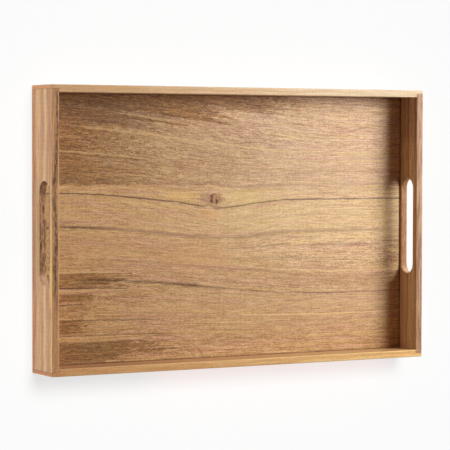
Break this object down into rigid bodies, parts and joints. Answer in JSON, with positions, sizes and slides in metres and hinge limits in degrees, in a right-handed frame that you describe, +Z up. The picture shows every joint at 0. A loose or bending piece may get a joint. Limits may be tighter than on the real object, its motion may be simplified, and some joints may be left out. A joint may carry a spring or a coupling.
{
  "type": "serving tray",
  "caption": "Shallow rectangular wooden serving tray with rabbeted corners, a base panel held in grooves and an oblong hand slot through each short end.",
  "frame": {"origin": "centre of the underside, on the plane that the bottom edges of the four boards rest on", "axes": "+X along the long side boards towards the right end, +Y across the tray towards the back rail, +Z up, out of the tray's mouth"},
  "size_m": [0.43, 0.281, 0.046],
  "materials": {
    "rail_wood": "oiled hardwood, grain along the rail, eased edges",
    "end_wood": "oiled hardwood, grain along the end board, eased edges",
    "face_veneer": "oiled figured veneer with dark heartwood streaks and fine open pores",
    "back_veneer": "oiled plain veneer, grain along the tray",
    "plywood": "bare plywood core",
    "pin_steel": "plain steel wire pin"
  },
  "bodies": {
    "root": {"front_rail": "rail_wood", "back_rail": "rail_wood", "left_end": "end_wood", "right_end": "end_wood", "base_core": "plywood", "base_face_veneer": "face_veneer", "base_back_veneer": "back_veneer", "pins_front_left": "pin_steel", "pins_front_right": "pin_steel", "pins_back_left": "pin_steel", "pins_back_right": "pin_steel"}
  },
  "joints": []
}
